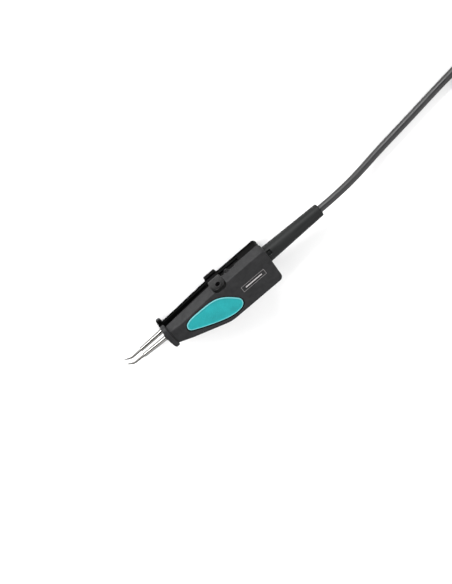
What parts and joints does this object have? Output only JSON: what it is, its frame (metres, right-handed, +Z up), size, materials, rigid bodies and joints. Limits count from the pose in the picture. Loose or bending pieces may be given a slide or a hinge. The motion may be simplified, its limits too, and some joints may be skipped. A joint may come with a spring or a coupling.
{
  "type": "hot soldering tweezers",
  "caption": "Hot tweezers for soldering small parts: two sprung half shells with soft oval grips, each holding a slim bent heater tip, and a cable with a round plug.",
  "frame": {"origin": "under the middle of the tool's box, on the surface that it lies on, with the cable and plug left out", "axes": "+X from the heater tips towards the cable, +Y towards the eared edge of the grip, +Z up from the arm that it lies on, the way the arms open"},
  "size_m": [0.4823, 0.065, 0.0321],
  "materials": {
    "grey_shell": "fine moulded grain, dark grey",
    "black_plastic": "black glass-filled plastic",
    "teal_rubber": "teal soft grip, satin",
    "stainless": "drawn stainless tube",
    "tip_plating": "plated solder tip, slightly dulled by heat",
    "dark_screw": "black oxide steel",
    "spring_steel": "bright spring wire",
    "brass": "brass contact",
    "ceramic": "heater ceramic",
    "boot_rubber": "dark grey moulded strain relief",
    "cable_jacket": "black silicone cable jacket",
    "plug_plastic": "black plug grip",
    "plug_metal": "nickel-plated plug shell",
    "wire_sleeve": "fibreglass-sleeved wire",
    "tie_strap": "hook-and-loop strap"
  },
  "bodies": {
    "chassis_body": {"chassis": "black_plastic", "upper_hinge_pin": "spring_steel", "lower_hinge_pin": "spring_steel", "cross_bolt": "dark_screw", "barrel_nut": "dark_screw", "near_return_spring": "spring_steel", "far_return_spring": "spring_steel", "cable_clamp": "spring_steel", "cable_inner": "cable_jacket", "cable_boot": "boot_rubber", "cable_run": "cable_jacket", "cable_coil": "cable_jacket", "cable_tie": "tie_strap", "cable_tail": "cable_jacket", "plug_relief": "boot_rubber", "plug_grip": "plug_plastic", "plug_shell": "plug_metal", "plug_insert": "black_plastic", "plug_pins": "brass"},
    "near_arm": {"near_shell": "grey_shell", "near_grip_pad": "teal_rubber", "near_liner": "black_plastic", "near_liner_screws": "dark_screw", "near_bushing": "black_plastic", "near_socket_tube": "stainless", "near_contact_clip": "brass", "near_terminal_block": "black_plastic", "near_leads": "wire_sleeve", "near_heater_sleeve": "stainless", "near_heater_tip": "tip_plating", "near_heater_core": "ceramic", "near_heater_terminal": "brass"},
    "far_arm": {"far_shell": "grey_shell", "far_grip_pad": "teal_rubber", "far_liner": "black_plastic", "far_liner_screws": "dark_screw", "far_bushing": "black_plastic", "far_socket_tube": "stainless", "far_contact_clip": "brass", "far_terminal_block": "black_plastic", "far_leads": "wire_sleeve", "far_heater_sleeve": "stainless", "far_heater_tip": "tip_plating", "far_heater_core": "ceramic", "far_heater_terminal": "brass"}
  },
  "joints": [
    {"name": "near_arm_close", "type": "hinge", "parent": "chassis_body", "child": "near_arm", "pos_m": [0.03579, 0, 0.01275], "axis": [0, -1, 0], "range_deg": [0, 1.53], "stiffness_Nm_per_rad": 0.8, "springref_deg": -11.46, "deforming": ["near_return_spring"]},
    {"name": "far_arm_close", "type": "hinge", "parent": "chassis_body", "child": "far_arm", "pos_m": [0.03579, 0, 0.01275], "axis": [0, 1, 0], "range_deg": [0, 1.53], "stiffness_Nm_per_rad": 0.8, "springref_deg": -11.46, "deforming": ["far_return_spring"]}
  ]
}
